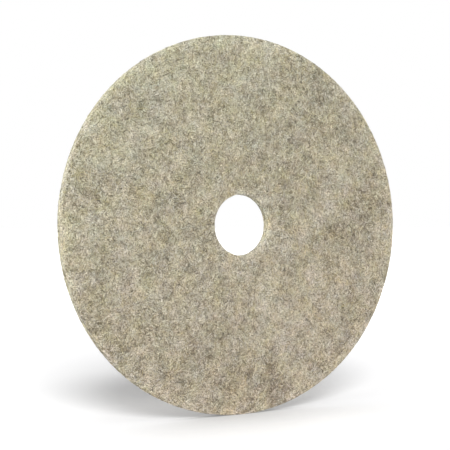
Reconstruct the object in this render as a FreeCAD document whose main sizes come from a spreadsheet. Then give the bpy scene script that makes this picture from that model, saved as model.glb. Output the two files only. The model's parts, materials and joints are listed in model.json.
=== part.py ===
import FreeCAD, Part

import os

import Sketcher

# Round felted fibre pad, standing on edge as the hub of a pad driver holds it.
# The origin is the centre of the bore, halfway through the pad's thickness.
# The bore runs along Y, the front face looks along -Y, and +Z is up.
# The felt is a stack of plies, the laps of the carded web. The die that cuts the disc
# cuts their folds away, so each one is a ring of its own, lying face to face with the next.

# Driving sizes in millimetres.
SIZES = {
    "pad_diameter": 508.0,  # the 20 inch size
    "bore_diameter": 82.55,  # 3 1/4 inch, over the hub of the pad driver
    "face_ply_thickness": 2.5,  # the hair-rich ply on each side
    "core_ply_thickness": 1.5,  # each ply between them
    "rim_round": 1.8,  # radius to which the die draws down the outer edge of a face ply
    "rim_relief": 0.25,  # chamfer of a core ply's outer edges, where the cut laps spring apart
}
CORE_PLIES = 6
EDGE_TOLERANCE = 0.01  # how near to a stated circle an edge has to lie

doc = FreeCAD.newDocument("felt_pad")


def make_size_sheet():
    """Writes each driving size to the spreadsheet, under its own alias."""
    sheet = doc.addObject("Spreadsheet::Sheet", "sizes")
    for row, (alias, value) in enumerate(SIZES.items(), start=1):
        sheet.set(f"A{row}", alias)
        sheet.set(f"B{row}", str(value))
        sheet.setAlias(f"B{row}", alias)
    doc.recompute()


def add_ring_sketch(body):
    """Sketches a ply's outline and bore as two circles about the origin, in the XZ plane."""
    sketch = body.newObject("Sketcher::SketchObject", f"{body.Name}_sketch")
    plane = next(f for f in body.Origin.OriginFeatures if f.Role == "XZ_Plane")
    sketch.AttachmentSupport = (plane, [""])
    sketch.MapMode = "FlatFace"
    centre, normal = FreeCAD.Vector(0, 0, 0), FreeCAD.Vector(0, 0, 1)
    for alias in ("pad_diameter", "bore_diameter"):
        circle = sketch.addGeometry(Part.Circle(centre, normal, SIZES[alias] / 2), False)
        sketch.addConstraint(Sketcher.Constraint("Coincident", circle, 3, -1, 1))
        constraint = sketch.addConstraint(Sketcher.Constraint("Diameter", circle, SIZES[alias]))
        sketch.setExpression(f"Constraints[{constraint}]", f"sizes.{alias}")
    return sketch


def outer_edges(shape, depths):
    """Names of the edges on the pad's outer circle, at these depths along Y."""
    names = []
    for number, edge in enumerate(shape.Edges, start=1):
        box = edge.BoundBox
        on_rim = abs(box.XMax - SIZES["pad_diameter"] / 2) < EDGE_TOLERANCE
        level = box.YLength < EDGE_TOLERANCE
        if on_rim and level and any(abs(box.YMin - depth) < EDGE_TOLERANCE for depth in depths):
            names.append(f"Edge{number}")
    return names


def make_ply(name, thickness_alias, start):
    """Pads the ring by the ply's thickness, towards +Y, and stands it at its depth in the stack.

    start is an expression for the depth of the ply's front face.
    """
    body = doc.addObject("PartDesign::Body", name)
    body.Label = name
    ring = add_ring_sketch(body)
    pad = body.newObject("PartDesign::Pad", f"{name}_pad")
    pad.Profile = ring
    pad.Reversed = True
    pad.setExpression("Length", f"sizes.{thickness_alias}")
    body.setExpression(".Placement.Base.y", start)
    doc.recompute()
    return body, pad


def dress_rim(body, pad, kind, size_property, size_alias, depths):
    """Rounds or chamfers the ply's outer edges at these depths, measured from its front face."""
    dressed = body.newObject(kind, f"{body.Name}_rim")
    dressed.Base = (pad, outer_edges(pad.Shape, depths))
    dressed.setExpression(size_property, f"sizes.{size_alias}")
    body.Tip = dressed


def make_plies():
    """Stacks the plies from the front face to the back one."""
    face, core = "sizes.face_ply_thickness", "sizes.core_ply_thickness"
    half = f"({face} + {CORE_PLIES} * {core} / 2)"
    front, pad = make_ply("front_face_ply", "face_ply_thickness", f"-{half}")
    dress_rim(front, pad, "PartDesign::Fillet", "Radius", "rim_round", [0])
    plies = [front]
    for number in range(CORE_PLIES):
        start = f"-{half} + {face} + {number} * {core}"
        ply, pad = make_ply(f"core_ply_{number + 1}", "core_ply_thickness", start)
        both_edges = [0, SIZES["core_ply_thickness"]]
        dress_rim(ply, pad, "PartDesign::Chamfer", "Size", "rim_relief", both_edges)
        plies.append(ply)
    back, pad = make_ply("back_face_ply", "face_ply_thickness", f"{half} - {face}")
    dress_rim(back, pad, "PartDesign::Fillet", "Radius", "rim_round", [SIZES["face_ply_thickness"]])
    plies.append(back)
    return plies


def check(parts):
    """Stops the build if any object failed to recompute, or a ply's shape isn't one sound solid."""
    for thing in doc.Objects:
        if "Invalid" in thing.State or "Error" in thing.State:
            raise RuntimeError(f"{thing.Label} failed to recompute: {thing.State}")
    for part in parts:
        shape = part.Shape
        if shape.isNull() or not shape.isValid() or len(shape.Solids) != 1:
            raise RuntimeError(f"{part.Label} has no valid solid")


make_size_sheet()
plies = make_plies()
doc.recompute()
check(plies)
os.makedirs("parts", exist_ok=True)
for ply in plies:
    ply.Shape.exportStep(f"parts/{ply.Label}.step")
    depth = ply.Shape.BoundBox
    print(f"{ply.Label}: {ply.Shape.Volume:.0f} mm3, y {depth.YMin:.2f} to {depth.YMax:.2f}")
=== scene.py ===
import json
import math
import bpy
import numpy as np
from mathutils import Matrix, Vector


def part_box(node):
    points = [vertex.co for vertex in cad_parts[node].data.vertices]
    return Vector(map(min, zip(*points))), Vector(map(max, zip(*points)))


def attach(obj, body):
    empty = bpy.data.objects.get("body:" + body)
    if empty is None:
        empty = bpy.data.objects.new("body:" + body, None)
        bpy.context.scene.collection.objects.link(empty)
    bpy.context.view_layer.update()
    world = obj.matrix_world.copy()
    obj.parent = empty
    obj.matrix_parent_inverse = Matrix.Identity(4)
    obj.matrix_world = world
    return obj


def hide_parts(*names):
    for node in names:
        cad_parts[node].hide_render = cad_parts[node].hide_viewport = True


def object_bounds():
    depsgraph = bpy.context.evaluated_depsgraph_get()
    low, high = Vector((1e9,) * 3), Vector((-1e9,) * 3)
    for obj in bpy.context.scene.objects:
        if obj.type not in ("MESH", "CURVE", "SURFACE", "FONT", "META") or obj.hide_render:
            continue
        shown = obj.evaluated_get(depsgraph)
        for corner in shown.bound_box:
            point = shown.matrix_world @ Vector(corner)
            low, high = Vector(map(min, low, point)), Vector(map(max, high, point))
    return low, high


# Round felted pad of natural hair and polyester fibre, for burnishing floors. It stands on edge.
# Each ply of felt is a mesh of its own, and the fibres that lie on the pad are thin tubes.

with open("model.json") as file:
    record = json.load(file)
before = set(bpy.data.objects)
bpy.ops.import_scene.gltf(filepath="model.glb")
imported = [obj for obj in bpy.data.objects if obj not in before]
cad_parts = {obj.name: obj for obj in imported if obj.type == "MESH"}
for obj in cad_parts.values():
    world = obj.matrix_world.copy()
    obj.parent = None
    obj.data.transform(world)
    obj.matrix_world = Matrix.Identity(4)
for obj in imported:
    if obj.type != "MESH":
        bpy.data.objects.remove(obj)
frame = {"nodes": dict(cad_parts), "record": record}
cadLow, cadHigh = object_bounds()
mm = 0.001

mounts = {mount["name"]: mount for mount in frame["record"]["mounts"]}
padRadius = cadHigh.x
halfPad = cadHigh.y  # half the pad's thickness
boreRadius = mounts["centre_bore"]["dims"]["r_mm"] * mm
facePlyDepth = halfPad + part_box("front_face_ply")[1].y  # how far a face ply reaches in from its face
corePlies = [name for name in sorted(frame["nodes"]) if name.startswith("core_ply")]

edges = {
    "rimRound": 1.5 * mm,  # radius of a face's outer edge
    "boreRound": 1.0 * mm,  # and of its edge at the bore
    "rimFall": 0.35 * mm,  # how far the die draws a face down towards the rim as it cuts
    "rimFallWidth": 10 * mm,
}


def smoothNoise(x, y, cell, seed):
    # Value noise from -1 to 1 on a square lattice turned by its seed, blended from cell to cell.
    turn = 0.7 * seed  # radians
    c, s = math.cos(turn), math.sin(turn)
    x, y = (x * c - y * s) / cell, (x * s + y * c) / cell
    ix, iy = np.floor(x).astype(np.int64), np.floor(y).astype(np.int64)
    fx, fy = x - ix, y - iy
    fx, fy = fx * fx * (3 - 2 * fx), fy * fy * (3 - 2 * fy)

    def corner(i, j):
        # Mixes up a lattice point's numbers into a value that looks random and is always the same.
        n = (ix + i) * 374761393 + (iy + j) * 668265263 + seed * 974634777
        n = ((n ^ (n >> 13)) * 1274126177) & 0xFFFFFFFF
        return ((n ^ (n >> 16)) & 0xFFFF) / 32767.5 - 1

    low = corner(0, 0) * (1 - fx) + corner(1, 0) * fx
    high = corner(0, 1) * (1 - fx) + corner(1, 1) * fx
    return low * (1 - fy) + high * fy


def smoothStep(value, low, high):
    share = np.clip((value - low) / (high - low), 0, 1)
    return share * share * (3 - 2 * share)


mottling = {
    # cell in mm, strength, and the seeds of the front and the back
    "wisps": [
        (80, 0.17, 1087, 353),
        (30, 0.16, 302, 354),
        (14, 0.24, 303, 355),
        (7, 0.30, 304, 356),
        (3.6, 0.22, 305, 357),
    ],
    "darkPull": 0.55,  # dark wisps are smaller and stronger than pale ones
}


def hairMix(x, z, side):
    # Carding leaves the blend uneven: below 0 dark hair gathers, above 0 pale polyester does.
    mix = sum(smoothNoise(x, z, cell * mm, frontSeed if side < 0 else backSeed) * strength
              for cell, strength, frontSeed, backSeed in mottling["wisps"])
    return mix * (1 - mottling["darkPull"] * np.clip(mix, -1, 0))


relief = {
    # Cell and height in mm, of lumps of web, tufts and needle marks.
    "lumps": [(70, 0.30), (19, 0.22), (7.5, 0.16), (3.2, 0.14), (1.6, 0.08)],
    "frontSeed": 11,
    "backSeed": 47,
    "edgeFade": 4 * mm,
}


def feltRelief(x, z, side):
    # How far the felt stands proud at a point.
    seed = relief["frontSeed"] if side < 0 else relief["backSeed"]
    proud = sum(smoothNoise(x, z, cell * mm, seed + i) * height * mm
                for i, (cell, height) in enumerate(relief["lumps"]))
    # The cut walls are level with the plies between the faces.
    r, fade = np.hypot(x, z), relief["edgeFade"]
    onFace = smoothStep(r, boreRadius, boreRadius + fade) - smoothStep(r, padRadius - fade, padRadius)
    return proud * onFace


def onFelt(x, z, lift, side):
    # Wraps flat points round the felt's edges: past the rim they run down the outer wall,
    # and inside the bore they run down its wall. lift is measured along the surface's normal.
    rimRound, boreRound = edges["rimRound"], edges["boreRound"]
    r = np.maximum(np.hypot(x, z), 1e-6)
    past = np.maximum(r - (padRadius - rimRound), 0)
    inside = np.maximum(boreRadius + boreRound - r, 0)
    turnOut = np.minimum(past / rimRound, math.pi / 2)
    turnIn = np.minimum(inside / boreRound, math.pi / 2)
    radius = np.clip(r, boreRadius + boreRound, padRadius - rimRound)
    radius = radius + rimRound * np.sin(turnOut) - boreRound * np.sin(turnIn)
    depth = edges["rimFall"] * smoothStep(r, padRadius - edges["rimFallWidth"], padRadius - rimRound)
    depth = depth + rimRound * (1 - np.cos(turnOut)) + boreRound * (1 - np.cos(turnIn))
    depth = depth + np.maximum(past - rimRound * math.pi / 2, 0)
    depth = depth + np.maximum(inside - boreRound * math.pi / 2, 0)
    normalR = np.sin(turnOut) - np.sin(turnIn)
    normalY = np.cos(turnOut) * np.cos(turnIn)
    radius = radius + lift * normalR
    y = side * (halfPad - depth + lift * normalY)
    return np.stack([radius * x / r, y, radius * z / r], axis=-1)


def setAttribute(piece, name, values):
    attribute = piece.data.attributes.new(name, "FLOAT", "POINT")
    attribute.data.foreach_set("value", values.astype(np.float32).ravel())


def makeMesh(name, points, quads, triangles=None):
    mesh = bpy.data.meshes.new(name)
    triangles = np.zeros((0, 3), int) if triangles is None else triangles
    loops = np.concatenate([quads.ravel(), triangles.ravel()]).astype(np.int32)
    sizes = np.concatenate([np.full(len(quads), 4), np.full(len(triangles), 3)])
    starts = np.concatenate([[0], np.cumsum(sizes)[:-1]]).astype(np.int32)
    mesh.vertices.add(len(points))
    mesh.vertices.foreach_set("co", points.astype(np.float32).ravel())
    mesh.loops.add(len(loops))
    mesh.loops.foreach_set("vertex_index", loops)
    mesh.polygons.add(len(sizes))
    mesh.polygons.foreach_set("loop_start", starts)
    mesh.polygons.foreach_set("use_smooth", np.ones(len(sizes), bool))
    mesh.update(calc_edges=True)
    mesh.validate()
    piece = bpy.data.objects.new(name, mesh)
    bpy.context.scene.collection.objects.link(piece)
    return piece


def ringGrid(name, rings):
    # Joins rings of points, each with the same number, into a closed tube-like skin.
    rows, segments = rings.shape[:2]
    row, step = np.meshgrid(np.arange(rows), np.arange(segments), indexing="ij")
    nextRow, nextStep = (row + 1) % rows, (step + 1) % segments
    quads = np.stack([row * segments + step, row * segments + nextStep,
                      nextRow * segments + nextStep, nextRow * segments + step], axis=-1)
    return makeMesh(name, rings.reshape(-1, 3), quads.reshape(-1, 4))


facePly = {
    "segments": 900,
    "ringSpacing": 2.25 * mm,
    "edgeSteps": 5,  # rings that carry the skin round an edge
}


def makeFacePly(node, side):
    # One skin from the inner end of the bore wall, over the face, to the inner end of the rim.
    rimTurn = edges["rimRound"] * math.pi / 2
    boreTurn = edges["boreRound"] * math.pi / 2
    flatStart, flatEnd = boreRadius + edges["boreRound"], padRadius - edges["rimRound"]
    boreEnd = flatStart - boreTurn - (facePlyDepth - edges["boreRound"])
    rimEnd = flatEnd + rimTurn + (facePlyDepth - edges["rimRound"] - edges["rimFall"])
    steps = facePly["edgeSteps"]
    flatSteps = round((flatEnd - flatStart) / facePly["ringSpacing"])
    radii = np.concatenate([
        np.linspace(boreEnd, flatStart, steps, endpoint=False),
        np.linspace(flatStart, flatEnd, flatSteps, endpoint=False),
        np.linspace(flatEnd, rimEnd, steps + 2),
    ])
    angles = np.arange(facePly["segments"]) * 2 * math.pi / facePly["segments"]
    x, z = np.outer(radii, np.cos(angles)), np.outer(radii, np.sin(angles))
    rings, mix = onFelt(x, z, feltRelief(x, z, side), side), hairMix(x, z, side)
    order = 1 if side > 0 else -1  # so that the skin's outside faces out
    piece = ringGrid(node + "_felt", rings[::order])
    setAttribute(piece, "hairMix", mix[::order])
    return piece


corePly = {
    "seed": 60,
    "segments": 720,
    "rimSteps": 5,
    "rimSlack": 0.25 * mm,  # how far cut fibres pull in and out along the rim
    "lapGap": 0.2 * mm,  # how deep the groove between two laps is at the cut
    "boreSwell": 0.05 * mm,  # the felt springs back into the bore once the die is out
    "boreEnds": 0.6,  # share of that at a ply's two faces
    "boreBulge": 0.3,  # and how much more there is halfway through it
    "waves": [(1.5 * mm, 0.6, 0), (4 * mm, 0.4, 5)],  # cell, share and seed step of the slack
    "blendCell": 9 * mm,  # how fast the blend of hair and polyester changes along the rim
    "blendSeedStep": 9,
}


def makeCorePly(node, seed):
    low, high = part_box(node)
    angles = np.arange(corePly["segments"]) * 2 * math.pi / corePly["segments"]
    across = np.linspace(-1, 1, corePly["rimSteps"])
    rings = []
    # Up the bore wall and back down the rim, as a share of the thickness, a radius and a bulge.
    boreRings = [(-1, boreRadius, 0), (0, boreRadius, corePly["boreBulge"]), (1, boreRadius, 0)]
    rimRings = [(-share, padRadius, 1 - share * share) for share in across]
    for share, radius, bulge in boreRings + rimRings:
        y = (low.y + high.y) / 2 + share * (high.y - low.y) / 2
        depth = np.full_like(angles, y)
        wave = sum(smoothNoise(angles * radius, depth, cell, seed + step) * weight
                   for cell, weight, step in corePly["waves"])
        slack = wave * corePly["rimSlack"]
        if radius > boreRadius:
            r = radius + (bulge - 1) * corePly["lapGap"] + slack * bulge
        else:
            r = radius - corePly["boreSwell"] * (corePly["boreEnds"] + bulge) - slack
        rings.append(np.stack([r * np.cos(angles), depth, r * np.sin(angles)], axis=-1))
    piece = ringGrid(node + "_felt", np.array(rings))
    blend = smoothNoise(angles * padRadius, np.full_like(angles, low.y), corePly["blendCell"],
                        seed + corePly["blendSeedStep"])
    setAttribute(piece, "hairMix", np.array([blend] * len(rings)))
    return piece


fibres = {
    # Locks of a few strands on each side of the pad. Lengths, thicknesses, curl radius, the gap between
    # strands and how far they rise are in mm. bias is how far a kind follows the mottling: pale over 0.
    # Real fibres are 0.05 to 0.1 mm thick, too fine to show, so these are fewer and coarser.
    "creamPolyester": {"locks": 7500, "strands": 2, "gap": 0.34, "length": (5, 14), "width": (0.18, 0.29),
                       "curl": 6, "rise": (0.0, 0.35), "bias": 0.45, "pieces": 2, "seed": 101},
    "greyGoatHair": {"locks": 6900, "strands": 2, "gap": 0.32, "length": (5, 12), "width": (0.17, 0.27),
                     "curl": 7, "rise": (-0.05, 0.25), "bias": -0.2, "pieces": 2, "seed": 202},
    "strawBristle": {"locks": 1800, "strands": 2, "gap": 0.3, "length": (5, 14), "width": (0.22, 0.32),
                     "curl": 8, "rise": (0.0, 0.32), "bias": 0.2, "pieces": 1, "seed": 303},
    "darkBristle": {"locks": 3600, "strands": 2, "gap": 0.32, "length": (4, 10), "width": (0.20, 0.32),
                    "curl": 11, "rise": (-0.05, 0.3), "bias": -0.9, "pieces": 1, "seed": 404},
    "guardHair": {"locks": 420, "strands": 1, "gap": 0, "length": (12, 26), "width": (0.34, 0.46),
                  "curl": 11, "rise": (0.2, 0.5), "bias": 0, "pieces": 1, "seed": 505},
    "darkGuardHair": {"locks": 450, "strands": 1, "gap": 0, "length": (7, 17), "width": (0.36, 0.5),
                      "curl": 13, "rise": (0.15, 0.4), "bias": -0.7, "pieces": 1, "seed": 606},
}
lock = {
    "tries": 4,  # random places tried for each lock wanted
    "crowding": 0.5,  # chance that a random place keeps its lock where the mottling is even
    "gapSpread": (0.6, 1.4),
    "lengthSpread": (0.75, 1.1),
    "headingSpread": 0.10,  # radians between the strands of a lock
    "toneSpread": 0.25,  # from its darkest colour at 0 to its palest at 1
}
tube = {
    "steps": 4,
    "sides": 3,
    "dip": (0.06, 0.20),  # mm, how far a fibre winds in and out of the felt
    "winding": (4, 9),  # radians of that over its length
    "endDive": 0.25,  # mm, how deep its ends sink
    "taper": 0.45,  # share of its width that it loses at its ends
}
strandMap = {
    # Where a strand's parts lie in its cell of the texture map, which is 1 wide: margin, the size of
    # its unrolled skin, and the corners of an end.
    "margin": 0.05,
    "skin": (0.7, 0.8),
    "end": [(0.78, 0.1), (0.88, 0.1), (0.83, 0.7)],
}


def scatterLocks(look, rng, side, reach):
    # Random places on the flattened pad, more of them where this kind of hair gathers.
    wanted = look["locks"] // look["pieces"]
    tries = wanted * lock["tries"]
    r = np.sqrt(rng.uniform(reach[0] ** 2, reach[1] ** 2, tries))
    turn = rng.uniform(0, 2 * math.pi, tries)
    x, z = r * np.cos(turn), r * np.sin(turn)
    keep = rng.uniform(0, 1, tries) < lock["crowding"] + look["bias"] * hairMix(x, z, side)
    return x[keep][:wanted], z[keep][:wanted]


def layStrands(look, rng, side, reach):
    # The middle line of every strand, as flat x and z, and its tone, which is near that of its lock.
    x, z = scatterLocks(look, rng, side, reach)
    number, strands = len(x), look["strands"]
    length = rng.uniform(*look["length"], number) * mm
    heading = rng.uniform(0, 2 * math.pi, number)
    bend = rng.normal(0, 1, number) / (look["curl"] * mm)
    swing = rng.normal(0, 1, number) / (look["curl"] * mm) / length * 2
    tone = rng.uniform(0, 1, number)

    def perStrand(values):
        return np.repeat(values, strands)[:, None]

    total = number * strands
    place = np.tile(np.arange(strands) - (strands - 1) / 2, number) * look["gap"] * mm
    place = (place * rng.uniform(*lock["gapSpread"], total))[:, None]
    along = np.linspace(-0.5, 0.5, tube["steps"] + 1)
    reachOut = perStrand(length) * rng.uniform(*lock["lengthSpread"], total)[:, None]
    s = reachOut * along
    angle = perStrand(heading) + rng.normal(0, lock["headingSpread"], total)[:, None]
    angle = angle + perStrand(bend) * s + perStrand(swing) * s * s
    middle = (angle[:, 1:] + angle[:, :-1]) / 2
    step = reachOut / tube["steps"]
    px = np.concatenate([np.zeros((total, 1)), np.cumsum(np.cos(middle) * step, axis=1)], axis=1)
    pz = np.concatenate([np.zeros((total, 1)), np.cumsum(np.sin(middle) * step, axis=1)], axis=1)
    px = px + perStrand(x) - place * np.sin(perStrand(heading))
    pz = pz + perStrand(z) + place * np.cos(perStrand(heading))
    flatR = np.hypot(px, pz)
    squeeze = np.clip(flatR, *reach) / np.maximum(flatR, 1e-6)
    tone = np.clip(perStrand(tone)[:, 0] + rng.normal(0, lock["toneSpread"], total), 0, 1)
    return px * squeeze, pz * squeeze, tone


def unit(vectors):
    return vectors / np.maximum(np.linalg.norm(vectors, axis=-1, keepdims=True), 1e-12)


def sinkStrands(look, rng, side, px, pz):
    # Each strand winds in and out of the felt, and its ends sink in. Gives its middle line, and the
    # directions across it and away from the felt.
    number = len(px)
    along = np.linspace(-0.5, 0.5, tube["steps"] + 1)
    rise = rng.uniform(*look["rise"], number)[:, None] * mm
    dip = rng.uniform(*tube["dip"], number)[:, None] * mm
    phase = rng.uniform(0, 2 * math.pi, number)[:, None]
    wave = np.sin(phase + along * rng.uniform(*tube["winding"], number)[:, None])
    dive = tube["endDive"] * mm * (2 * np.abs(along)) ** 4
    lift = feltRelief(px, pz, side) + rise + dip * wave - dive
    spine = onFelt(px, pz, lift, side)
    above = unit(onFelt(px, pz, lift + mm, side) - spine)
    tangent = unit(np.gradient(spine, axis=1))
    across = unit(np.cross(tangent, above))
    return spine, across, np.cross(across, tangent)


def mapStrands(piece, number, i, k):
    # Every strand has its own cell of the map, with its skin unrolled in it and its two ends beside that.
    long, high = strandMap["skin"]
    cells = math.ceil(math.sqrt(number))
    corner = np.stack([np.arange(number) % cells, np.arange(number) // cells], axis=-1)[:, None, :]
    corner = corner + strandMap["margin"]
    unrolled = np.stack([np.stack([i, i, i + 1, i + 1], -1) / tube["steps"] * long,
                         np.stack([k, k + 1, k + 1, k], -1) / tube["sides"] * high], axis=-1)
    ends = np.array(strandMap["end"] * 2)[None]
    spread = np.concatenate([(corner + unrolled.reshape(1, -1, 2)).reshape(-1, 2),
                             (corner + ends).reshape(-1, 2)]) / cells
    layer = piece.data.uv_layers.new(name="OFBake")
    layer.uv.foreach_set("vector", spread.astype(np.float32).ravel())


def makeFibres(kind, side, batch):
    look = fibres[kind]
    rng = np.random.default_rng([look["seed"], side + 1, batch])
    # A flat place past an edge lies on the wall beyond it, down to the middle of the pad's thickness.
    bend = 2 - math.pi / 2
    reach = (boreRadius - halfPad + edges["boreRound"] * bend,
             padRadius + halfPad - edges["rimFall"] - edges["rimRound"] * bend)
    px, pz, tone = layStrands(look, rng, side, reach)
    spine, across, above = sinkStrands(look, rng, side, px, pz)
    number, steps, sides = len(px), tube["steps"], tube["sides"]

    along = np.linspace(-0.5, 0.5, steps + 1)
    radius = rng.uniform(*look["width"], number)[:, None] * mm / 2
    radius = (radius * (1 - tube["taper"] * (2 * np.abs(along)) ** 3))[..., None]
    turns = 2 * math.pi * np.arange(sides) / sides + math.pi / 2
    outward = [math.cos(turn) * across + math.sin(turn) * above for turn in turns]
    points = np.stack([spine + radius * direction for direction in outward], axis=2)
    base = np.arange(number)[:, None, None] * (steps + 1) * sides
    i, k = np.meshgrid(np.arange(steps), np.arange(sides), indexing="ij")
    i, k = i.ravel(), k.ravel()
    nextK = (k + 1) % sides
    ring, nextRing, last = i * sides, (i + 1) * sides, steps * sides
    quad = np.stack([ring + k, ring + nextK, nextRing + nextK, nextRing + k], axis=-1)
    caps = np.array([[2, 1, 0], [last, last + 1, last + 2]])
    name = ("front_" if side < 0 else "back_") + kind + (f"_{batch + 1}" if look["pieces"] > 1 else "")
    piece = makeMesh(name, points.reshape(-1, 3), (base + quad).reshape(-1, 4),
                     (base + caps).reshape(-1, 3))
    setAttribute(piece, "fibreTone", np.repeat(tone, (steps + 1) * sides))
    mapStrands(piece, number, i, k)
    return piece


def linear(hexColour):
    # sRGB hex to linear RGBA
    parts = [int(hexColour[i:i + 2], 16) / 255 for i in (1, 3, 5)]
    return [c / 12.92 if c <= 0.04045 else ((c + 0.055) / 1.055) ** 2.4 for c in parts] + [1]


def addNode(tree, kind, settings=None, values=None, links=None):
    node = tree.nodes.new(kind)
    for name, value in (settings or {}).items():
        setattr(node, name, value)
    for socket, value in (values or {}).items():
        node.inputs[socket].default_value = value
    for socket, source in (links or {}).items():
        tree.links.new(source, node.inputs[socket])
    return node


def newMaterial(name):
    material = bpy.data.materials.new(name)
    material.use_nodes = True
    tree = material.node_tree
    tree.nodes.clear()
    shader = addNode(tree, "ShaderNodeBsdfPrincipled")
    addNode(tree, "ShaderNodeOutputMaterial", links={"Surface": shader.outputs[0]})
    return material, tree, shader


def addShade(tree, place, layers):
    # Adds noise layers to one number round 1. Each is a cell size in mm, a weight and a twist.
    total = addNode(tree, "ShaderNodeValue").outputs[0]
    total.default_value = 1 - sum(weight for size, weight, twist in layers)
    for size, weight, twist in layers:
        noise = addNode(tree, "ShaderNodeTexNoise",
                        values={"Scale": 1 / (size * mm), "Detail": 1.5, "Distortion": twist},
                        links={"Vector": place})
        total = addNode(tree, "ShaderNodeMath", {"operation": "MULTIPLY_ADD"}, {1: 2 * weight},
                        {0: noise.outputs[0], 2: total}).outputs[0]
    return total


def addTint(tree, place, colour, tint):
    # Lays a tint over a colour in patches.
    noise = addNode(tree, "ShaderNodeTexNoise",
                    values={"Scale": 1 / (tint["size"] * mm), "Detail": 2, "Distortion": 0.6},
                    links={"Vector": place})
    patch = addNode(tree, "ShaderNodeMapRange", {"interpolation_type": "SMOOTHSTEP"},
                    {"From Min": tint["from"], "From Max": tint["to"], "To Max": tint["strength"]},
                    {"Value": noise.outputs[0]})
    mix = addNode(tree, "ShaderNodeMix", {"data_type": "RGBA"}, {7: linear(tint["colour"])},
                  {0: patch.outputs[0], 6: colour})
    return mix.outputs[2]


def addFibreLayer(tree, place, colour, layer):
    # Short fibres laid in patches, each patch in its own direction, over a colour. channel picks which
    # of a patch's random numbers turns it, so that two layers don't run side by side.
    patch = addNode(tree, "ShaderNodeTexVoronoi", values={"Scale": 1 / (layer["patch"] * mm)},
                    links={"Vector": place})
    heading = addNode(tree, "ShaderNodeSeparateColor", links={0: patch.outputs["Color"]})
    turn = addNode(tree, "ShaderNodeMath", {"operation": "MULTIPLY"}, {1: 2 * math.pi},
                   {0: heading.outputs[layer["channel"]]})
    turned = addNode(tree, "ShaderNodeVectorRotate", {"rotation_type": "Y_AXIS"},
                     links={"Vector": place, "Angle": turn.outputs[0]})
    across = 1 / (layer["width"] * mm)
    drawn = addNode(tree, "ShaderNodeVectorMath", {"operation": "MULTIPLY"},
                    {1: (1 / (layer["length"] * mm), across, across)}, {0: turned.outputs[0]})
    noise = addNode(tree, "ShaderNodeTexNoise",
                    values={"Scale": 1, "Detail": 1, "Distortion": layer["curl"]},
                    links={"Vector": drawn.outputs[0]})
    cover = addNode(tree, "ShaderNodeMapRange", {"interpolation_type": "SMOOTHSTEP"},
                    {"From Min": layer["from"], "From Max": layer["to"], "To Max": layer["strength"]},
                    {"Value": noise.outputs[0]})
    mix = addNode(tree, "ShaderNodeMix", {"data_type": "RGBA"}, {7: linear(layer["colour"])},
                  {0: cover.outputs[0], 6: colour})
    return mix.outputs[2]


cast = {
    # How the felt's tone wanders: cell in mm, then factors on red, green and blue at either end.
    "wanders": [
        (26, (0.987, 1.0, 1.06), (1.01, 1.0, 0.90)),  # grey to straw
        (15, (0.975, 1.007, 1.0), (1.04, 0.986, 0.986)),  # green to brown
    ],
    "from": 0.3,  # noise values at either end
    "to": 0.7,
    # Painted light: the colour is lighter and greener towards the top and darker and warmer towards the
    # bottom, as light from above and warm light bounced off the floor make it, and the whole colour is
    # lifted a little. The direction, then factors at either rim.
    "paintedLightAlong": (0.35, 0, -0.94),
    "paintedLightFrom": (1.078, 1.11, 1.075),
    "paintedLightTo": (1.057, 1.002, 0.999),
}


def addWandersAndPaintedLight(tree, place, colour):
    # Turns a colour's tone by the wanders, and by a painted light gradient from top to bottom.
    shares = []
    for cell, low, high in cast["wanders"]:
        noise = addNode(tree, "ShaderNodeTexNoise",
                        values={"Scale": 1 / (cell * mm), "Detail": 3, "Roughness": 0.65},
                        links={"Vector": place})
        shares.append((noise.outputs[0], cast["from"], cast["to"], low, high))
    # Painted light: lighter and greener at the top, darker and warmer at the bottom.
    along = addNode(tree, "ShaderNodeVectorMath", {"operation": "DOT_PRODUCT"}, {1: cast["paintedLightAlong"]},
                    {0: place})
    shares.append((along.outputs["Value"], -padRadius, padRadius, cast["paintedLightFrom"], cast["paintedLightTo"]))
    for value, start, end, low, high in shares:
        share = addNode(tree, "ShaderNodeMapRange", values={"From Min": start, "From Max": end},
                        links={"Value": value})
        factors = addNode(tree, "ShaderNodeMix", {"data_type": "RGBA"}, {6: (*low, 1), 7: (*high, 1)},
                          {0: share.outputs[0]})
        turned = addNode(tree, "ShaderNodeVectorMath", {"operation": "MULTIPLY"},
                         links={0: colour, 1: factors.outputs[2]})
        colour = turned.outputs[0]
    return colour


paleEdgesAndPaintedLight = {
    # Where the die cut the felt its fibres stand loose and pale, and this brightening is partly painted
    # light too: it lifts the bore's wall out of the shade it lies in, and makes the band by the rim as
    # bright as light from the side would. From what radius to what radius that grows, and by how much it
    # brightens red, green and blue.
    "rim": (padRadius - 20 * mm, padRadius, (1.19, 1.20, 1.22)),
    "bore": (boreRadius + 13 * mm, boreRadius, (1.10, 1.11, 1.14)),
    # painted light: lifts the bore's wall out of its shade
    "boreWallPaintedLight": (boreRadius + 2 * mm, boreRadius, (1.13, 1.14, 1.15)),
}


def addPaleEdgesAndPaintedLight(tree, place, colour):
    # Pales a colour towards the rim and the bore: the cut fibres' own paleness, with painted light on the
    # rim's band and the bore's wall.
    flat = addNode(tree, "ShaderNodeVectorMath", {"operation": "MULTIPLY"}, {1: (1, 0, 1)}, {0: place})
    radius = addNode(tree, "ShaderNodeVectorMath", {"operation": "LENGTH"}, links={0: flat.outputs[0]})
    for start, end, factors in paleEdgesAndPaintedLight.values():
        share = addNode(tree, "ShaderNodeMapRange", {"interpolation_type": "SMOOTHSTEP"},
                        {"From Min": start, "From Max": end}, {"Value": radius.outputs["Value"]})
        factor = addNode(tree, "ShaderNodeMix", {"data_type": "RGBA"},
                         {6: (1, 1, 1, 1), 7: (*factors, 1)}, {0: share.outputs[0]})
        colour = addNode(tree, "ShaderNodeVectorMath", {"operation": "MULTIPLY"},
                         links={0: colour, 1: factor.outputs[2]}).outputs[0]
    return colour


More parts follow.
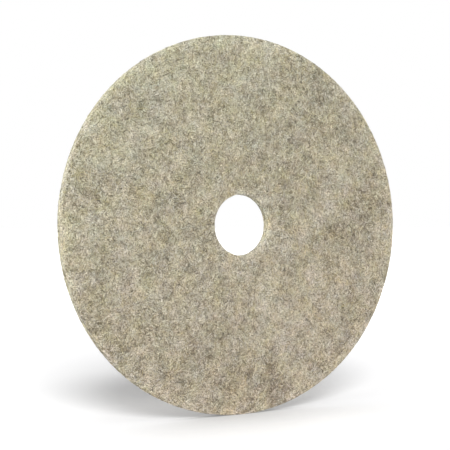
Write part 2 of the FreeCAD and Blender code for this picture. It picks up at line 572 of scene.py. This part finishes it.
# Goat hair and polyester, carded, laid and needled: a matt mat of greyish cream, mottled where one kind
# of fibre gathers, with short dark and pale streaks. Real streaks are finer than could show, so these
# are drawn coarser.
hairFelt = {
    "dark": "#756d5c",
    "pale": "#cdc6b1",
    "mixFrom": -0.75,
    "mixTo": 0.75,
    "roughness": 0.92,
    # Patches and streaks, in mm. The higher "from" and "to" are, the rarer they get.
    "tints": [
        {"colour": "#beb487", "size": 12, "from": 0.52, "to": 0.74, "strength": 0.35},  # straw hair
        {"colour": "#9a8069", "size": 8, "from": 0.56, "to": 0.78, "strength": 0.35},  # brown hair
    ],
    "fibres": [
        {"colour": "#5e563c", "patch": 7, "channel": 0, "width": 0.6, "length": 5, "curl": 0.6,
         "from": 0.50, "to": 0.66, "strength": 0.8},
        {"colour": "#d7d2c1", "patch": 9, "channel": 1, "width": 0.6, "length": 6, "curl": 0.6,
         "from": 0.52, "to": 0.66, "strength": 0.8},
        {"colour": "#645b42", "patch": 5, "channel": 2, "width": 0.6, "length": 3, "curl": 0.6,
         "from": 0.55, "to": 0.68, "strength": 0.7},
    ],
    "shades": [(1.4, 0.9, 0.4), (0.8, 2.2, 0)],
    "brightest": 1.25,
    "darkest": 0.15,
    "drag": 0.3,
}

# Needled polyester with little hair, cut by the die: a paler, more even cream, with streaks that the
# die has dragged across the wall. They too are drawn coarser than real.
fibreFelt = {
    "dark": "#868067",
    "pale": "#c8c3ad",
    "mixFrom": -0.75,
    "mixTo": 0.75,
    "roughness": 0.92,
    "tints": [
        {"colour": "#b9ad8a", "size": 6, "from": 0.54, "to": 0.76, "strength": 0.3},
    ],
    "fibres": [
        {"colour": "#5e5744", "patch": 5, "channel": 0, "width": 0.7, "length": 4, "curl": 0.6,
         "from": 0.48, "to": 0.64, "strength": 0.8},
        {"colour": "#dad5c2", "patch": 6, "channel": 1, "width": 0.7, "length": 5, "curl": 0.6,
         "from": 0.52, "to": 0.66, "strength": 0.8},
    ],
    "shades": [(1.8, 0.9, 0.4), (1.0, 1.1, 0)],
    "brightest": 1.25,
    "darkest": 0.2,
    "drag": 0.3,
}

shadeKnee = 0.3  # how softly a felt's shade levels off at its brightest

# The pile of both: fibre ends that stand up, catch the light and keep the surface dull.
pile = {
    "size": 1.3,
    "depth": 0.35 * mm,
    "strength": 0.8,
    "sheen": 0.15,
    "sheenRoughness": 0.6,
}


def feltMaterial(name, felt):
    material, tree, shader = newMaterial(name)
    place = addNode(tree, "ShaderNodeTexCoord").outputs["Object"]
    blend = addNode(tree, "ShaderNodeAttribute", {"attribute_name": "hairMix"})
    share = addNode(tree, "ShaderNodeMapRange",
                    values={"From Min": felt["mixFrom"], "From Max": felt["mixTo"]},
                    links={"Value": blend.outputs["Fac"]})
    ground = addNode(tree, "ShaderNodeMix", {"data_type": "RGBA"},
                     {6: linear(felt["dark"]), 7: linear(felt["pale"])}, {0: share.outputs[0]})
    colour = ground.outputs[2]
    # The die drags fibres across the walls that it cuts, so patterns are drawn out there.
    drag = addNode(tree, "ShaderNodeVectorMath", {"operation": "MULTIPLY"},
                   {1: (1, felt["drag"], 1)}, {0: place})
    dragged = drag.outputs[0]
    for tint in felt["tints"]:
        colour = addTint(tree, dragged, colour, tint)
    for layer in felt["fibres"]:
        colour = addFibreLayer(tree, dragged, colour, layer)
    colour = addWandersAndPaintedLight(tree, place, addPaleEdgesAndPaintedLight(tree, place, colour))
    shade = addShade(tree, dragged, felt["shades"])
    shade = addNode(tree, "ShaderNodeMath", {"operation": "SMOOTH_MIN"},
                    {1: felt["brightest"], 2: shadeKnee}, {0: shade})
    shade = addNode(tree, "ShaderNodeMath", {"operation": "MAXIMUM"},
                    {1: felt["darkest"]}, {0: shade.outputs[0]})
    shaded = addNode(tree, "ShaderNodeVectorMath", {"operation": "SCALE"},
                     links={0: colour, "Scale": shade.outputs[0]})
    tree.links.new(shaded.outputs[0], shader.inputs["Base Color"])
    ends = addNode(tree, "ShaderNodeTexNoise",
                   values={"Scale": 1 / (pile["size"] * mm), "Detail": 2, "Distortion": 1.5},
                   links={"Vector": place})
    bump = addNode(tree, "ShaderNodeBump",
                   values={"Strength": pile["strength"], "Distance": pile["depth"]},
                   links={"Height": ends.outputs[0]})
    tree.links.new(bump.outputs[0], shader.inputs["Normal"])
    shader.inputs["Roughness"].default_value = felt["roughness"]
    shader.inputs["Sheen Weight"].default_value = pile["sheen"]
    shader.inputs["Sheen Roughness"].default_value = pile["sheenRoughness"]
    return material


fibreLooks = {
    # Two colours that single fibres range between, and roughness. Drawn polyester is pale with a soft
    # shine, goat hair greyer and duller. Bristles are straw or nearly black, and guard hairs shine most.
    "creamPolyester": {"colours": ("#bfbaaa", "#f0ede2"), "roughness": 0.55},
    "greyGoatHair": {"colours": ("#7f7760", "#bdb69d"), "roughness": 0.6},
    "strawBristle": {"colours": ("#b3ab8b", "#d9d2b2"), "roughness": 0.45},
    "darkBristle": {"colours": ("#342c1c", "#6e6348"), "roughness": 0.5},
    "guardHair": {"colours": ("#d0c498", "#ebe5d0"), "roughness": 0.4},
    "darkGuardHair": {"colours": ("#2c261c", "#5e5340"), "roughness": 0.45},
}
fibreShades = [(20, 0.08, 0.5), (4, 0.10, 0)]  # as a felt's shades: cell in mm, weight and twist


def fibreMaterial(kind):
    look = fibreLooks[kind]
    material, tree, shader = newMaterial(kind)
    place = addNode(tree, "ShaderNodeTexCoord").outputs["Object"]
    tone = addNode(tree, "ShaderNodeAttribute", {"attribute_name": "fibreTone"})
    dark, pale = look["colours"]
    mix = addNode(tree, "ShaderNodeMix", {"data_type": "RGBA"},
                  {6: linear(dark), 7: linear(pale)}, {0: tone.outputs["Fac"]})
    colour = addWandersAndPaintedLight(tree, place, addPaleEdgesAndPaintedLight(tree, place, mix.outputs[2]))
    shade = addShade(tree, place, fibreShades)
    shaded = addNode(tree, "ShaderNodeVectorMath", {"operation": "SCALE"},
                     links={0: colour, "Scale": shade})
    tree.links.new(shaded.outputs[0], shader.inputs["Base Color"])
    shader.inputs["Roughness"].default_value = look["roughness"]
    return material


hairFeltMaterial = feltMaterial("needledHairFelt", hairFelt)
fibreFeltMaterial = feltMaterial("needledPolyesterFelt", fibreFelt)

for node, side in (("front_face_ply", -1), ("back_face_ply", 1)):
    ply = makeFacePly(node, side)
    ply.data.materials.append(hairFeltMaterial)
    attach(ply, "root")
    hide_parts(node)
    print("felted", ply.name, len(ply.data.polygons), "faces")

for number, node in enumerate(corePlies):
    ply = makeCorePly(node, corePly["seed"] + number)
    ply.data.materials.append(fibreFeltMaterial)
    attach(ply, "root")
    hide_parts(node)
    print("felted", ply.name, len(ply.data.polygons), "faces")

for kind in fibres:
    material = fibreMaterial(kind)
    for side in (-1, 1):
        for batch in range(fibres[kind]["pieces"]):
            tufts = makeFibres(kind, side, batch)
            tufts.data.materials.append(material)
            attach(tufts, "root")
            print("laid", tufts.name, len(tufts.data.polygons), "faces")


studio = {
    "floorColour": "#f4f4f5",
    "floorHalf": 60,
    "floorRoughness": 0.9,
    "paintedContactReach": 0.13,  # how far from the pad the painted contact shadow reaches
    "paintedContactShade": 1.0,
    # Only the camera sees the floor's glow, so that it is white but keeps the pad's shadow.
    "floorGlow": 0.229,
    # The glow fades out towards the middle of the shadow, which paints shadow there and deepens the real
    # one: its place on the floor, and from how far off.
    "paintedShadowMiddle": (0.012, 0.226, 0),
    "paintedShadowReach": (0, 0.25),
    # Far from the pad the glow grows to plain white: from where to where, and by how much.
    "farReach": (0.785, 2.03),
    "farGlow": 0.553,
    "worldLight": 0.226,
    "keyTurn": 22.6,  # degrees that the key lamp stands left of the bore's axis
    "keyRise": 35.3,  # degrees that it stands above it
    "keySpread": 23,  # degrees, so that its shadow is soft
    "keyPower": 2.46,
    # Left of the pad, so that the bore's wall and the rim aren't dark.
    "fillPlace": (-2.2, -0.4, 0.7),
    "fillSize": 1.8,
    "fillPower": 24,
    # Behind the pad and low, so that it lights the back and hardly reaches the floor.
    "backPlace": (1.9, 2.3, 0.0),
    "backSize": 1.8,
    "backPower": 40,
}


def seenDirectly(tree):
    # 1 for what the camera sees, also in a mirror or through glass, and 0 for light that falls on things
    path = addNode(tree, "ShaderNodeLightPath")
    seen = path.outputs["Is Camera Ray"]
    for other in ("Is Glossy Ray", "Is Transmission Ray"):
        seen = addNode(tree, "ShaderNodeMath", {"operation": "MAXIMUM"},
                       links={0: seen, 1: path.outputs[other]}).outputs[0]
    return seen


def makeFloor():
    # Backdrop paper: dead white and matt, with only the pad's shadow on it, deepened by painted shadow.
    material, tree, shader = newMaterial("whitePaper")
    shader.inputs["Roughness"].default_value = studio["floorRoughness"]
    place = addNode(tree, "ShaderNodeTexCoord").outputs["Object"]
    flat = addNode(tree, "ShaderNodeVectorMath", {"operation": "MULTIPLY"}, {1: (1, 1, 0)}, {0: place})
    seen = seenDirectly(tree)
    # Close round the pad a painted contact shadow darkens the paper a little on every side, to the camera
    # only.
    openness = addNode(tree, "ShaderNodeAmbientOcclusion", {"samples": 16},
                       {"Distance": studio["paintedContactReach"]})
    shade = addNode(tree, "ShaderNodeMath", {"operation": "MULTIPLY_ADD"},
                    {1: -studio["paintedContactShade"], 2: studio["paintedContactShade"]}, {0: openness.outputs["AO"]})
    shade = addNode(tree, "ShaderNodeMath", {"operation": "MULTIPLY"},
                    links={0: shade.outputs[0], 1: seen})
    paper = addNode(tree, "ShaderNodeMix", {"data_type": "RGBA"},
                    {6: linear(studio["floorColour"]), 7: (0, 0, 0, 1)}, {0: shade.outputs[0]})
    tree.links.new(paper.outputs[2], shader.inputs["Base Color"])
    glow = seen
    near, far = studio["floorGlow"], studio["floorGlow"] + studio["farGlow"]
    # The first pass fades the glow round the shadow's middle, a painted shadow; the second whitens the
    # far floor.
    for centre, reach, low, high in ((studio["paintedShadowMiddle"], studio["paintedShadowReach"], 0, 1),
                                     ((0, 0, 0), studio["farReach"], near, far)):
        away = addNode(tree, "ShaderNodeVectorMath", {"operation": "DISTANCE"}, {1: centre},
                       {0: flat.outputs[0]})
        share = addNode(tree, "ShaderNodeMapRange", {"interpolation_type": "SMOOTHSTEP"},
                        {"From Min": reach[0], "From Max": reach[1], "To Min": low, "To Max": high},
                        {"Value": away.outputs["Value"]})
        glow = addNode(tree, "ShaderNodeMath", {"operation": "MULTIPLY"},
                       links={0: glow, 1: share.outputs[0]}).outputs[0]
    shader.inputs["Emission Color"].default_value = (1, 1, 1, 1)
    tree.links.new(glow, shader.inputs["Emission Strength"])
    half, level = studio["floorHalf"], cadLow.z
    corners = [(-half, -half, level), (half, -half, level), (half, half, level), (-half, half, level)]
    floor = makeMesh("floor", np.array(corners, float), np.array([[0, 1, 2, 3]]))
    floor.data.materials.append(material)


def makeLight(name, kind, place, power, settings):
    lamp = bpy.data.lights.new(name, kind)
    lamp.energy = power
    for setting, value in settings.items():
        setattr(lamp, setting, value)
    light = bpy.data.objects.new(name, lamp)
    bpy.context.scene.collection.objects.link(light)
    light.location = place
    light.rotation_euler = (-light.location).to_track_quat("-Z", "Y").to_euler()
    light.visible_camera = False  # so that no view shows the lamp itself


def makeWorld():
    world = bpy.data.worlds.new("softRoom")
    bpy.context.scene.world = world
    world.use_nodes = True
    tree = world.node_tree
    tree.nodes.clear()
    strength = addNode(tree, "ShaderNodeMapRange", values={"To Min": studio["worldLight"], "To Max": 1},
                       links={"Value": seenDirectly(tree)})
    glow = addNode(tree, "ShaderNodeBackground", links={"Strength": strength.outputs[0]})
    glow.inputs["Color"].default_value = (1, 1, 1, 1)
    addNode(tree, "ShaderNodeOutputWorld", links={"Surface": glow.outputs[0]})


camera = {
    "lens": 78.49,  # mm, and its sensor's width
    "sensor": 36,
    "turn": 28.4,  # degrees that the view is turned from the bore's axis
    "distance": 5.2063 * padRadius,
    "aside": 0.078 * padRadius,  # how far right of the view's middle the bore lies
}


def makeCamera():
    lens = bpy.data.cameras.new("camera")
    lens.lens = camera["lens"]
    lens.sensor_width = camera["sensor"]
    eye = bpy.data.objects.new("camera", lens)
    bpy.context.scene.collection.objects.link(eye)
    turn = math.radians(camera["turn"])
    ahead = np.array([math.sin(turn), math.cos(turn), 0])
    right = np.array([math.cos(turn), -math.sin(turn), 0])
    eye.location = -ahead * camera["distance"] - right * camera["aside"]
    eye.rotation_euler = (math.pi / 2, 0, -turn)
    bpy.context.scene.camera = eye


makeFloor()
makeWorld()
keyTurn, keyRise = math.radians(studio["keyTurn"]), math.radians(studio["keyRise"])
keyOut = math.cos(keyRise)
keyPlace = (-math.sin(keyTurn) * keyOut, -math.cos(keyTurn) * keyOut, math.sin(keyRise))
makeLight("key", "SUN", keyPlace, studio["keyPower"], {"angle": math.radians(studio["keySpread"])})
for name in ("fill", "back"):
    place, power, size = (studio[name + part] for part in ("Place", "Power", "Size"))
    makeLight(name, "AREA", place, power, {"size": size})
makeCamera()
bpy.context.scene.view_settings.view_transform = "Standard"
print("lit", len(bpy.data.lights), "lamps")
